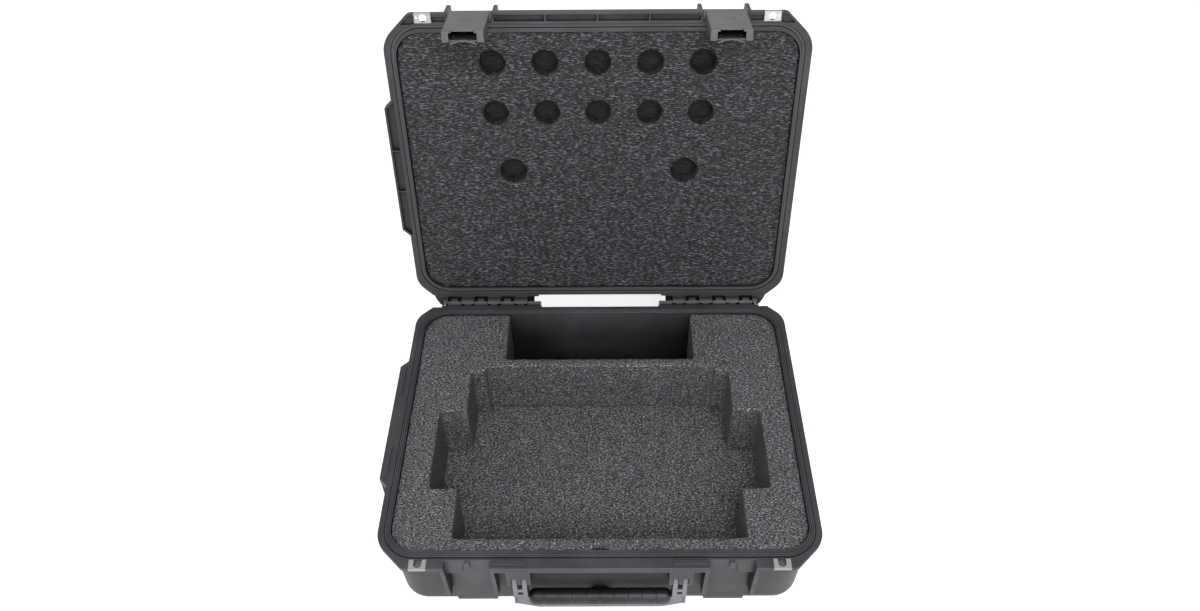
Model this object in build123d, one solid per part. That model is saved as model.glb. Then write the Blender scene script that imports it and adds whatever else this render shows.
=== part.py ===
"""Moulded hard case with a foam-lined base and lid, two trigger latches and two folding handles.

Millimetres. X runs to the right, Y to the back, Z up. The origin is the middle of the underside, below
the middle of the rim. The lid is drawn shut and then swung open about the hinge, which is how it stands.
"""

from build123d import *
from math import cos, radians, sin, tan
import os

# The rim, where base and lid meet
RIM_WIDTH = 590.0
RIM_DEPTH = 466.0
RIM_HEIGHT = 158.0  # above the ground
RIM_EDGE = 11.0  # height of the rim's turned edge, on base and lid alike
RIM_SKIN = 3.5
RIM_LIP = 3.0
SIDE_RIM = 16.0  # from the rim's edge in to the opening
FRONT_RIM = 27.0
REAR_RIM = 13.5
CORNER_EDGE = 6.0  # height of the turned edge round the front corners
CORNER_CUT = 39.0  # the slanting front corners
CORNER_CUT_ROUND = 40.0
CORNER_START_ROUND = 12.0
REAR_CUT = 23.5  # the slanting rear corners
REAR_CUT_ROUND = 36.0
SIDE_BULGE = 11.0  # how far the rim stands out over the side handle
SIDE_BULGE_LENGTH = 203.0
SIDE_BULGE_Y = 6.0

PARTING = 0.3  # between the two rims when shut

# The two shells
WALL = 4.0
DRAFT = 2.0  # degrees
OPENING_CORNER = 37.0
BASE_EDGE_ROUND = 34.0
LID_HEIGHT = 56.0
LID_EDGE_ROUND = 20.0
FOOT_HEIGHT = 2.5
STACK_RIB_HEIGHT = 3.0
STACK_RIB_WIDTH = 10.0
STACK_RIB_PITCH = 24.0
STACK_RIBS = 4  # on each side of the lid
STACK_RIB_IN = 105.0  # the outermost rib's middle, in from the rim's side edge
STACK_RIB_END = 72.0  # the ribs' ends, in from the opening's front and rear edges
FOOT_LENGTH = 75.0  # of the feet below the strips, in from the wall
FOOT_RISE = 55.0  # height of the rear strips
STRIP_WIDTH = 54.0  # of the raised strips below the latches
CELL_RIB = 2.5
CELL_PITCH = 46.0

# The seal
TONGUE_WIDTH = 4.4
TONGUE_SLOT = 1.0  # the fine groove along the tongue
TONGUE_SLOT_DEPTH = 0.8
TONGUE_HEIGHT = 2.0
TONGUE_SIDE = 11.5  # tongue's middle line, in from the rim's edge
TONGUE_FRONT = 18.7
TONGUE_REAR = 9.5
TONGUE_CORNER = 41.5
GUTTER_WIDTH = 1.6
GUTTER_DEPTH = 1.5
SEAL_WIDTH = 5.2
SEAL_GROOVE_DEPTH = 6.0
SEAL_GAP = 0.3  # between tongue and seal when shut
KEY_HEIGHT = 1.8  # of the keys on the base's rim that enter the lid's pockets
KEY_LENGTH = 42.5
KEY_FROM_BAY = 4.0
KEY_FRONT = 5.0  # the front keys, in from the rim's edge
KEY_WIDTH = 6.2
SIDE_KEY_FRONT = 3.5
SIDE_KEY_START = 49.0  # from the middle of the side bulge
SIDE_KEY_END = 3.5  # before the end of the side bulge
POCKET_DEPTH = 6.5  # of those pockets
CORNER_POCKET_DEPTH = 4.0

# The hinge, moulded on both shells in two stretches
HINGE_OUT = 13.0  # axis behind the rim's rear edge
HINGE_DROP = 3.0  # axis below the rim
HINGE_IN = 198.0  # inner end of a stretch, from the rim's side edge
KNUCKLE_PITCH = 43.3
KNUCKLE_RADIUS = 8.0
KNUCKLE_GAP = 0.8
KNUCKLE_NARROW = 10.4  # width of the part of a knuckle that goes right round the pin
KNUCKLES = 4  # of the base, on each side
END_KNUCKLE = 7.0  # the lid's last, short knuckle
HINGE_SILL = 4.0  # both rims' ledges along the hinge, beyond the rear edge
HINGE_BACK = 9.0  # the base's closing plate, behind the axis
HINGE_ROOF = 5.0  # the lid's closing plate, behind the axis
HINGE_PLATE = 3.2
HINGE_CLEAR = 0.8  # between closing plates and knuckles
HINGE_PIN_RADIUS = 2.0
RUNNING = 0.05  # clearance all round a pin that something turns on
OPEN_ANGLE = 100.0  # degrees from shut to the open stop

# The latches
LATCH_IN = 122.5  # a latch's middle, in from the rim's side edge
LATCH_WIDTH = 54.0
LATCH_LENGTH = 77.0  # below the rim
LATCH_DEPTH = 12.5
LATCH_SHEET = 2.5
LATCH_TAPER = 2.3  # how far the cover's face leans out towards its lower end
SCOOP_RADIUS = 9.5  # of the shallow scoop in the cover's face
SCOOP_DROP = 32.5
LATCH_PIVOT_OUT = 6.0  # pivot behind the rim's front edge
LATCH_PIVOT_UP = 5.7  # pivot above the lid's rim
LATCH_BARREL = 7.0
LATCH_PIN_RADIUS = 2.0
BAY_WIDTH = 60.0
LID_BAY_DEPTH = 13.6
BASE_BAY_DEPTH = 12.0
KEEPER_DROP = 33.0  # lower edge of the keeper below the rim
KEEPER_SHEET = 3.0
GUARD = 5.0  # thickness of the guard fins beside each latch
BASE_GUARD_DROP = 94.0
LID_GUARD_RISE = 42.0
KEEPER_TAB_DROP = 13.0
KEEPER_TAB_WIDTH = 6.6
KEEPER_TAB_OUT = 4.5
KEEPER_NOTCH_WIDTH = 18.6
KEEPER_NOTCH_RISE = 21.0
TAB_CLEAR = 0.9
TRIGGER_WIDTH = 44.0
TRIGGER_LIP_WIDTH = 35.0
TRIGGER_LIP_RADIUS = 38.0  # the lip is bowed
TRIGGER_LIP_HEIGHT = 5.0
TRIGGER_SHEET = 2.2
TRIGGER_PIVOT_DROP = 9.0
TRIGGER_BARREL = 3.2
TRIGGER_PIN_RADIUS = 1.5
HOOK_GRIP = 1.8
HOOK_HEIGHT = 3.5
LATCH_WINDOW = 30.0  # width of the notch in the latch's lower edge
LATCH_WINDOW_RISE = 6.0
SPRING_RADIUS = 2.6
SPRING_WIRE = 0.7
SPRING_TURNS = 4
SPRING_DROP = 50.0

# The handles, alike on the front and on the left side
HANDLE_PIN_IN = 9.0  # pin behind the rim's edge
HANDLE_PIN_DROP = 40.0
HANDLE_PIN_RADIUS = 2.5
PRONG = 5.5
PRONG_GAP = 7.5
PRONG_END = 10.6  # prongs' ends below the pin
PRONG_ROUND = 8.0
PRONGS = 3
BRACKET_DROP = 29.5  # where the slots between the prongs begin
BRACKET_FROM_LATCH = 15.0  # between the front handle's brackets and the latches' guards
LEG = 6.0
LEG_GAP = 0.75
LEG_ROUND = 7.0
LEG_SLOT_END = 61.0
LEG_BRIDGE_END = 68.0
LEG_HOLE_END = 75.0
LEG_STEP = 80.0  # below here the frame's front is set back, but for a flange at each end
LEG_FLANGE = 2.5
HANDLE_DROP = 113.8  # lowest edge of the handle below the rim
HANDLE_BAR = 27.0
HANDLE_THICK = 10.0
GRIP_GAP = 1.25  # between the rubber and each leg
GRIP_THICK = 20.0
GRIP_HEIGHT = 24.0
GRIP_RISE = 9.3  # of the frame seen below the rubber
GRIP_ROUND = 9.4
GRIP_END_ROUND = 7.5
GRIP_RING_PITCH = 19.0
GRIP_RING_DEPTH = 0.8
GRIP_RING_WIDTH = 1.4

# The padlock plates at the front corners
PLATE_IN = 58.7  # a plate's middle, in from the rim's side edge
PLATE_WIDTH = 22.5
PLATE_DEPTH = 13.6
PLATE_SHEET = 1.5
PLATE_TURN = 6.0  # turned-down front edge
PADLOCK_SIDE = 59.0  # a hole's middle, in from the rim's side edge
PADLOCK_IN = 7.0  # hole behind the rim's front edge
PADLOCK_RADIUS = 5.0

# The pressure valve in the front wall
VALVE_DROP = 117.0
VALVE_RADIUS = 14.0
VALVE_STEM_RADIUS = 8.0
VALVE_HEAD = 2.5
VALVE_NUT = 4.0
VALVE_BOSS_RADIUS = 17.0
VALVE_FACE = 24.5  # the flat boss for it, behind the rim's front edge
VALVE_BACK = 32.5  # and its inner face

# The foam, cut for a flat unit and its pedal
FOAM_GAP = 0.3
FOAM_SINK = 3.0  # foam below the rim
FLOOR_PAD = 45.0
UNIT_WIDTH = 392.0
UNIT_DEPTH = 286.5
UNIT_FRONT = 20.0  # foam left in front of the unit
NOTCH_WIDTH = 351.0
NOTCH_DEPTH = 10.0
HAND_BAY_WIDTH = 472.0
HAND_BAY_DEPTH = 133.0
HAND_BAY_FRONT = 97.5  # from the opening's front edge
PEDAL_WIDTH = 290.0
PEDAL_BAR = 14.5  # foam left between pedal and unit notch
TAB_WIDTH = 21.0
TAB_DEPTH = 7.0
TAB_DROP = 45.0
POCKET_ROUND = 3.0
LID_SHEET = 25.0  # the lid foam's pierced sheet
SWITCH_HOLE = 36.0
KNOB_HOLE = 39.0
SWITCH_PITCH = 73.6
SWITCHES = 5
SWITCH_ROWS = (-160.5, -85.5)
KNOB_ROW = 8.4
KNOB_PITCH = 254.4

FRONT = -RIM_DEPTH / 2
REAR = RIM_DEPTH / 2
SIDE = RIM_WIDTH / 2
LATCH_X = SIDE - LATCH_IN
BAY_INNER = LATCH_X - BAY_WIDTH / 2
BAY_OUTER = LATCH_X + BAY_WIDTH / 2
HINGE_START = SIDE - HINGE_IN
PLATE_X = SIDE - PLATE_IN
PADLOCK_X = SIDE - PADLOCK_SIDE
BRACKET = PRONGS * PRONG + (PRONGS - 1) * PRONG_GAP
OPENING_WIDTH = RIM_WIDTH - 2 * SIDE_RIM
OPENING_FRONT = FRONT + FRONT_RIM
OPENING_REAR = REAR - REAR_RIM
OPENING_DEPTH = OPENING_REAR - OPENING_FRONT
OPENING_Y = (OPENING_FRONT + OPENING_REAR) / 2
BASE_DEPTH = RIM_HEIGHT - FOOT_HEIGHT
LID_Z = RIM_HEIGHT + PARTING
HINGE_Y = REAR + HINGE_OUT
HINGE_Z = RIM_HEIGHT - HINGE_DROP
LATCH_Y = FRONT + LATCH_PIVOT_OUT
LATCH_Z = LID_Z + LATCH_PIVOT_UP
LATCH_FACE = LATCH_Y - LATCH_BARREL
KEEPER_FACE = FRONT + BASE_BAY_DEPTH
KEEPER_Z = RIM_HEIGHT - KEEPER_DROP
LATCH_END = RIM_HEIGHT - LATCH_LENGTH
TRIGGER_Y = LATCH_Y - 0.5
TRIGGER_Z = RIM_HEIGHT - TRIGGER_PIVOT_DROP
TRIGGER_REAR = KEEPER_FACE - 0.6
TRIGGER_FRONT = TRIGGER_REAR - TRIGGER_SHEET
FOAM_TOP = RIM_HEIGHT - FOAM_SINK
FLOOR_TOP = FOOT_HEIGHT + WALL + FLOOR_PAD
VALVE_Z = RIM_HEIGHT - VALVE_DROP


def box(x0, x1, y0, y1, z0, z1):
    """A box between six planes."""
    return Pos((x0 + x1) / 2, (y0 + y1) / 2, (z0 + z1) / 2) * Box(x1 - x0, y1 - y0, z1 - z0)


def rod_x(x0, x1, y, z, radius):
    """A round bar along X."""
    return Pos((x0 + x1) / 2, y, z) * Rot(0, 90, 0) * Cylinder(radius, x1 - x0)


def slab_x(x0, x1, points):
    """A profile of (y, z) points drawn between two planes across X."""
    profile = make_face(Polyline([(0, y, z) for y, z in points], close=True))
    return Pos(x0, 0, 0) * extrude(profile, amount=x1 - x0, dir=(1, 0, 0))


def window_y(x, width, y0, y1, z0, z1, corner):
    """A block with rounded corners as seen from the front."""
    face = Plane((x, y0, (z0 + z1) / 2), x_dir=(1, 0, 0), z_dir=(0, 1, 0))
    return extrude(face * RectangleRounded(width, z1 - z0, corner), amount=y1 - y0)


def mirrored(part):
    return mirror(part, about=Plane.YZ)


def both_sides(part):
    """The part and its mirror image across the middle of the case."""
    return [part, mirrored(part)]


def opened(part):
    """A part of the lid, swung from shut to the open stop."""
    return part.rotate(Axis((0, HINGE_Y, HINGE_Z), (1, 0, 0)), -OPEN_ANGLE)


def tub(grow, depth, edge_round):
    """Solid with the walls' draft, upward from Z = 0; grow is its distance outside the opening."""
    plan = RectangleRounded(OPENING_WIDTH + 2 * grow, OPENING_DEPTH + 2 * grow, OPENING_CORNER + grow)
    solid = extrude(Pos(0, OPENING_Y) * plan, amount=depth, taper=DRAFT)
    if edge_round > 0:
        solid = fillet(solid.faces().sort_by(Axis.Z)[-1].edges(), edge_round)
    return solid


def on_base(part):
    """A part drawn upward from the rim, turned over to hang below the base's rim."""
    return Pos(0, 0, RIM_HEIGHT) * mirror(part, about=Plane.XY)


def on_lid(part):
    """A part drawn upward from the rim, put on the shut lid's rim."""
    return Pos(0, 0, LID_Z) * part


def wall_at(z):
    """Distance of the wall's outer face behind the rim's edge, at the front or under the side bulge."""
    return FRONT_RIM - WALL + abs(z) * tan(radians(DRAFT))


# The rim

def rim_outline():
    """The rim seen from above, with its slanting corners and the bulge over the side handle."""
    plan = make_face(Polyline(
        [(REAR_CUT - SIDE, REAR), (SIDE - REAR_CUT, REAR), (SIDE, REAR - REAR_CUT), (SIDE, FRONT + CORNER_CUT),
         (SIDE - CORNER_CUT, FRONT), (CORNER_CUT - SIDE, FRONT), (-SIDE, FRONT + CORNER_CUT),
         (-SIDE, REAR - REAR_CUT)], close=True))
    for y, radius in ((FRONT, CORNER_START_ROUND), (FRONT + CORNER_CUT, CORNER_CUT_ROUND),
                      (REAR - REAR_CUT, REAR_CUT_ROUND)):
        plan = fillet([v for v in plan.vertices() if abs(v.Y - y) < 0.01], radius)
    half = SIDE_BULGE_LENGTH / 2
    bulge = make_face(Polyline(
        [(-SIDE + 1, SIDE_BULGE_Y - half - SIDE_BULGE - 1), (-SIDE - SIDE_BULGE, SIDE_BULGE_Y - half),
         (-SIDE - SIDE_BULGE, SIDE_BULGE_Y + half), (-SIDE + 1, SIDE_BULGE_Y + half + SIDE_BULGE + 1)],
        close=True))
    return plan + bulge


def ring(width, shift=0.0):
    """A band of even width round the rim, about the tongue's middle line or that far outside it."""
    across = RIM_WIDTH - 2 * TONGUE_SIDE + 2 * shift
    along = RIM_DEPTH - TONGUE_FRONT - TONGUE_REAR + 2 * shift
    corner = TONGUE_CORNER + shift
    outer = RectangleRounded(across + width, along + width, corner + width / 2)
    inner = RectangleRounded(across - width, along - width, corner - width / 2)
    return Pos(0, (TONGUE_FRONT - TONGUE_REAR) / 2) * (outer - inner)


def rim_flange(kept):
    """The rim's turned edge, drawn upward from the rim: a skin and a lip, with cells between ribs behind.

    The solids in kept stay full.
    """
    outline = rim_outline()
    cells = Pos(0, 0, RIM_SKIN) * extrude(offset(outline, -RIM_LIP), amount=RIM_EDGE)
    across = int(SIDE / CELL_PITCH)
    for i in range(-across, across + 1):
        cells -= Pos(i * CELL_PITCH, 0, RIM_EDGE) * Box(CELL_RIB, RIM_DEPTH, 2 * RIM_EDGE)
    along = int((REAR - REAR_CUT) / CELL_PITCH)
    for i in range(-along, along + 1):
        cells -= Pos(0, i * CELL_PITCH, RIM_EDGE) * Box(RIM_WIDTH + 2 * SIDE_BULGE, CELL_RIB, 2 * RIM_EDGE)
    # Round the front corners the edge is lower
    low = box(BAY_OUTER + GUARD, SIDE + 1, FRONT - 1, FRONT + CORNER_CUT + 12, CORNER_EDGE, 2 * RIM_EDGE)
    cells += both_sides(low)
    cells -= [tub(WALL, RIM_EDGE + RIM_SKIN, 0)] + kept
    return extrude(outline, amount=RIM_EDGE) - cells


def corner_block():
    """The full part of a rim round the padlock hole, drawn upward from the rim, on the right."""
    return box(BAY_OUTER, SIDE - 8, FRONT, FRONT + PLATE_DEPTH + 3, 0, CORNER_EDGE)


def side_keys(height):
    """Two long keys on the side bulge's rim, drawn upward from it."""
    x0 = -SIDE - SIDE_BULGE + SIDE_KEY_FRONT
    start = SIDE_KEY_START
    end = SIDE_BULGE_LENGTH / 2 - SIDE_KEY_END
    return [box(x0, x0 + KEY_WIDTH, SIDE_BULGE_Y + y0, SIDE_BULGE_Y + y1, -1, height)
            for y0, y1 in ((-end, -start), (start, end))]


# The hinge, right-hand stretch

def knuckle_starts():
    """Where the base's knuckles begin, from the middle of the case."""
    return [HINGE_START + i * KNUCKLE_PITCH for i in range(KNUCKLES)]


def knuckle(x0, x1, web, facing, narrow=True):
    """A web and half a barrel over the whole width, and a narrow barrel that goes right round the pin.

    web is the web's (y, z) profile and facing the direction of its own rim, an angle from back to up.
    """
    beyond = Pos(0, -HINGE_PIN_RADIUS - 0.1 - 2 * KNUCKLE_RADIUS, 0) * Box(
        2 * (x1 - x0), 4 * KNUCKLE_RADIUS, 4 * KNUCKLE_RADIUS)
    solid = rod_x(x0, x1, HINGE_Y, HINGE_Z, KNUCKLE_RADIUS)
    solid -= Pos((x0 + x1) / 2, HINGE_Y, HINGE_Z) * Rot(facing, 0, 0) * beyond
    solid += slab_x(x0, x1, web)
    if narrow:
        middle = (x0 + x1) / 2
        solid += rod_x(middle - KNUCKLE_NARROW / 2, middle + KNUCKLE_NARROW / 2, HINGE_Y, HINGE_Z, KNUCKLE_RADIUS)
    return solid


def base_hinge():
    """The base's knuckles, a ledge along them and a plate that closes the hinge from below."""
    root = REAR - RIM_LIP
    starts = knuckle_starts()
    end = starts[-1] + KNUCKLE_PITCH / 2 + END_KNUCKLE - KNUCKLE_GAP
    plate_top = HINGE_Z - KNUCKLE_RADIUS - HINGE_CLEAR
    floor = plate_top - HINGE_PLATE
    web = [(root, HINGE_Z + 0.5), (HINGE_Y, HINGE_Z + 0.5), (HINGE_Y, floor + 1), (root, floor + 1)]
    length = KNUCKLE_PITCH / 2 - KNUCKLE_GAP
    # The view from the front and above sees the barrels' own half up to the pin
    knuckles = [knuckle(x, x + length, web, 224, narrow=x > starts[0]) for x in starts]
    ledge = box(starts[0] - 2, end, root, REAR + HINGE_SILL, floor, RIM_HEIGHT - 0.5)
    plate = box(starts[0], end, root, HINGE_Y + HINGE_BACK, floor, plate_top)
    # Past the lid's last knuckle the closing plate stops short of the axis
    plate += box(end - 1, end + 3, root, HINGE_Y - 1, floor, plate_top)
    ledge += box(end - 1, end + 3, root, REAR + HINGE_SILL, floor, RIM_HEIGHT - 0.5)
    return knuckles + [ledge, plate]


def lid_hinge():
    """The lid's knuckles, shut, with a ledge and closing plate: the last knuckle is short and blind."""
    root = REAR - RIM_LIP
    low = LID_Z + 0.5
    roof = HINGE_Z + KNUCKLE_RADIUS + 2 * HINGE_CLEAR
    high = roof + HINGE_PLATE
    web = [(root, low), (HINGE_Y, low), (HINGE_Y, roof + 1), (root, roof + 1)]
    starts = [x + KNUCKLE_PITCH / 2 for x in knuckle_starts()]
    lengths = [KNUCKLE_PITCH / 2 - KNUCKLE_GAP] * (KNUCKLES - 1) + [END_KNUCKLE]
    knuckles = [knuckle(x, x + length, web, 144, narrow=x < starts[-1]) for x, length in zip(starts, lengths)]
    end = starts[-1] + END_KNUCKLE
    edge = REAR + HINGE_SILL - 0.6
    rear = HINGE_Y + HINGE_ROOF
    plan = make_face(Polyline([(HINGE_START + 1, root), (HINGE_START + 4, edge - 2), (HINGE_START + 10, edge + 3),
                               (HINGE_START + 11, rear), (end, rear), (end, root)], close=True))
    gusset = make_face(Polyline([(end - 1, root), (end + 16.5, root), (end + 13.5, edge), (end + 11.5, edge + 6),
                                 (end + 7.5, HINGE_Y + 4), (end + 3.2, HINGE_Y + 8.5), (end, HINGE_Y + 8.5),
                                 (end - 1, rear)], close=True))
    ledge = box(HINGE_START + 3, end, root, edge, low, high)
    return knuckles + [ledge, Pos(0, 0, roof) * extrude(plan, amount=high - roof),
                       Pos(0, 0, low) * extrude(gusset, amount=high - low)]


def hinge_pin(radius, extra):
    """The pin's shape, or with extra length its bore: blind in the lid's last knuckle."""
    start = HINGE_START + 1.0
    end = knuckle_starts()[-1] + KNUCKLE_PITCH / 2 + END_KNUCKLE - 2.0
    return rod_x(start - extra, end + extra / 4, HINGE_Y, HINGE_Z, radius)


# The latches, right-hand one, shut

def guard_fins(profile):
    """The two fins that guard a latch, with a profile of (y, z) points."""
    return [slab_x(BAY_INNER - GUARD, BAY_INNER, profile), slab_x(BAY_OUTER, BAY_OUTER + GUARD, profile)]


def keeper():
    """A box below the base's rim, hollow from below and notched, whose front sheet the hook goes under."""
    wall = FRONT + wall_at(0)
    block = box(BAY_INNER, BAY_OUTER, KEEPER_FACE, wall + 2, KEEPER_Z, RIM_HEIGHT)
    block -= box(BAY_INNER + KEEPER_SHEET, BAY_OUTER - KEEPER_SHEET, KEEPER_FACE + KEEPER_SHEET, wall,
                 KEEPER_Z - 1, RIM_HEIGHT - 2 * RIM_SKIN)
    block -= window_y(LATCH_X - 1, KEEPER_NOTCH_WIDTH, KEEPER_FACE - 1, KEEPER_FACE + KEEPER_SHEET + 1,
                      KEEPER_Z - KEEPER_NOTCH_RISE, KEEPER_Z + KEEPER_NOTCH_RISE, 5)
    return [block, keeper_tab(0)]


def keeper_tab(clearance):
    """The tab in the middle of the keeper, or the room that the latch leaves round it."""
    half = KEEPER_TAB_WIDTH / 2 + clearance
    return box(LATCH_X - half, LATCH_X + half, KEEPER_FACE - KEEPER_TAB_OUT - clearance, KEEPER_FACE + 1,
               RIM_HEIGHT - KEEPER_TAB_DROP - clearance, RIM_HEIGHT + (10 if clearance else -0.1))


def latch_face_at(z):
    """Where the cover's leaning outer face is at a height."""
    return LATCH_FACE - LATCH_TAPER * (LATCH_Z - z) / (LATCH_Z - LATCH_END)


def latch_body():
    """The latch's pressed cover: a dished sheet with turned sides and ends, on a barrel above."""
    x0 = LATCH_X - LATCH_WIDTH / 2
    x1 = LATCH_X + LATCH_WIDTH / 2
    inside = LATCH_FACE + LATCH_SHEET
    rear = LATCH_FACE + LATCH_DEPTH
    cover = slab_x(x0, x1, [(LATCH_FACE, LATCH_Z), (rear, LATCH_Z), (rear, LATCH_END),
                            (latch_face_at(LATCH_END), LATCH_END)])
    face_edges = [e for e in cover.edges() if e.center().Y < LATCH_FACE - 0.1]
    cover = fillet(face_edges, 1.8)
    floor = LATCH_END + LATCH_SHEET
    cover -= slab_x(x0 + LATCH_SHEET, x1 - LATCH_SHEET,
                    [(latch_face_at(LATCH_Z + 1) + LATCH_SHEET, LATCH_Z + 1), (rear + 1, LATCH_Z + 1),
                     (rear + 1, floor), (latch_face_at(floor) + LATCH_SHEET, floor)])
    half = TRIGGER_LIP_WIDTH / 2 + 0.8
    cover -= box(LATCH_X - half, LATCH_X + half, inside - LATCH_TAPER, rear + 1, LATCH_END - 1, LATCH_END + 4)
    cover -= window_y(LATCH_X, LATCH_WINDOW, LATCH_FACE - LATCH_TAPER - 1, rear,
                      LATCH_END - LATCH_WINDOW_RISE, LATCH_END + LATCH_WINDOW_RISE, 2.5)
    middle = RIM_HEIGHT - SCOOP_DROP
    cover -= Pos(LATCH_X, latch_face_at(middle) + 0.5, middle) * Rot(91.5, 0, 0) * Cylinder(
        SCOOP_RADIUS, 4, align=(Align.CENTER, Align.CENTER, Align.MIN))
    half = BAY_WIDTH / 2 - 0.5
    cover += rod_x(LATCH_X - half, LATCH_X + half, LATCH_Y, LATCH_Z, LATCH_BARREL)
    # The barrel's rear is relieved where the keeper's tab passes it
    half = KEEPER_TAB_WIDTH / 2 + TAB_CLEAR
    relief = rod_x(LATCH_X - half, LATCH_X + half, LATCH_Y, LATCH_Z, LATCH_BARREL + 1)
    relief -= rod_x(LATCH_X - half, LATCH_X + half, LATCH_Y, LATCH_Z, LATCH_BARREL - 1.5)
    cover -= relief & box(x0, x1, LATCH_Y, LATCH_Y + 20, LATCH_Z - 20, LATCH_Z + 20)
    cover -= rod_x(x0 - 10, x1 + 10, LATCH_Y, LATCH_Z, LATCH_PIN_RADIUS + RUNNING)
    return cover - rod_x(x0 - 1, x1 + 1, TRIGGER_Y, TRIGGER_Z, TRIGGER_PIN_RADIUS)


def latch_trigger():
    """The trigger inside the cover: a barrel, a plate with the hook behind it, and a lip to pull."""
    half = TRIGGER_WIDTH / 2
    lip = TRIGGER_LIP_WIDTH / 2
    head = [(TRIGGER_Y, TRIGGER_Z - TRIGGER_BARREL), (TRIGGER_FRONT, TRIGGER_Z - 8),
            (TRIGGER_REAR, TRIGGER_Z - 8), (TRIGGER_REAR, TRIGGER_Z), (TRIGGER_Y, TRIGGER_Z)]
    trigger = rod_x(LATCH_X - half, LATCH_X + half, TRIGGER_Y, TRIGGER_Z, TRIGGER_BARREL)
    trigger += slab_x(LATCH_X - half, LATCH_X + half, head)
    trigger += box(LATCH_X - half, LATCH_X + half, TRIGGER_FRONT, TRIGGER_REAR, LATCH_END + 7, TRIGGER_Z - 7)
    trigger += box(LATCH_X - lip, LATCH_X + lip, TRIGGER_FRONT, TRIGGER_REAR, LATCH_END + 2, LATCH_END + 8)
    bow = Cylinder(TRIGGER_LIP_RADIUS, TRIGGER_LIP_HEIGHT) - Cylinder(TRIGGER_LIP_RADIUS - 2, TRIGGER_LIP_HEIGHT)
    bow = Pos(LATCH_X, TRIGGER_FRONT - 0.5 + TRIGGER_LIP_RADIUS, LATCH_END + TRIGGER_LIP_HEIGHT / 2) * bow
    trigger += bow & box(LATCH_X - lip, LATCH_X + lip, TRIGGER_FRONT - 1, TRIGGER_FRONT + TRIGGER_LIP_RADIUS / 2,
                         LATCH_END, LATCH_END + 8)
    top = KEEPER_Z - 0.3
    hook = [(TRIGGER_REAR - 1, top), (KEEPER_FACE + HOOK_GRIP, top), (KEEPER_FACE + HOOK_GRIP, top - 1),
            (TRIGGER_REAR, top - HOOK_HEIGHT), (TRIGGER_REAR - 1, top - HOOK_HEIGHT)]
    trigger += slab_x(LATCH_X - half + 4, LATCH_X + half - 4, hook)
    for x in (-0.6, 0.6):
        trigger += box(LATCH_X + x * half - 1, LATCH_X + x * half + 1, TRIGGER_FRONT - 1.2, TRIGGER_FRONT + 1,
                       LATCH_END + 12, TRIGGER_Z - 12)
    trigger -= keeper_tab(TAB_CLEAR)
    return trigger - rod_x(LATCH_X - half - 1, LATCH_X + half + 1, TRIGGER_Y, TRIGGER_Z,
                           TRIGGER_PIN_RADIUS + RUNNING)


def latch_pin():
    half = BAY_WIDTH / 2 + GUARD
    return rod_x(LATCH_X - half, LATCH_X + half, LATCH_Y, LATCH_Z, LATCH_PIN_RADIUS)


def trigger_pin():
    half = LATCH_WIDTH / 2 - 0.2
    return rod_x(LATCH_X - half, LATCH_X + half, TRIGGER_Y, TRIGGER_Z, TRIGGER_PIN_RADIUS)


def trigger_spring():
    """The small coil between cover and trigger, its end turns ground flat."""
    middle = RIM_HEIGHT - SPRING_DROP
    length = TRIGGER_FRONT - latch_face_at(middle + SPRING_RADIUS) - LATCH_SHEET
    centre = SPRING_RADIUS - SPRING_WIRE / 2
    path = Helix(pitch=(length - SPRING_WIRE / 2) / SPRING_TURNS, height=length - SPRING_WIRE / 2,
                 radius=centre)
    start = Plane(origin=path @ 0, z_dir=path % 0)
    coil = sweep(start * Circle(SPRING_WIRE / 2), path=path, is_frenet=True)
    coil = Pos(0, 0, SPRING_WIRE / 4) * coil
    coil &= Pos(0, 0, length / 2) * Cylinder(2 * SPRING_RADIUS, length - 0.04)
    return Pos(LATCH_X, TRIGGER_FRONT, middle) * Rot(90, 0, 0) * coil


# The handles, in their own place: Y = 0 at the rim's edge and Z = 0 at the rim

def bracket(start):
    """Three prongs that carry the right-hand end of a handle."""
    bottom = -HANDLE_PIN_DROP - PRONG_END
    end = start + BRACKET
    solid = box(start, end, 0.5, FRONT_RIM, bottom, -RIM_SKIN)
    front = solid.edges().filter_by(Axis.X).group_by(Axis.Z)[0].sort_by(Axis.Y)[0]
    solid = fillet(front, PRONG_ROUND - 0.5)
    for i in range(PRONGS - 1):
        x = start + PRONG + i * (PRONG + PRONG_GAP)
        solid -= box(x, x + PRONG_GAP, -1, wall_at(0), bottom - 1, -BRACKET_DROP)
    return solid - rod_x(start - 1, end - 2, HANDLE_PIN_IN, -HANDLE_PIN_DROP, HANDLE_PIN_RADIUS)


def handle_pin(start):
    return rod_x(start, start + BRACKET - 2.1, HANDLE_PIN_IN, -HANDLE_PIN_DROP, HANDLE_PIN_RADIUS)


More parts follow.
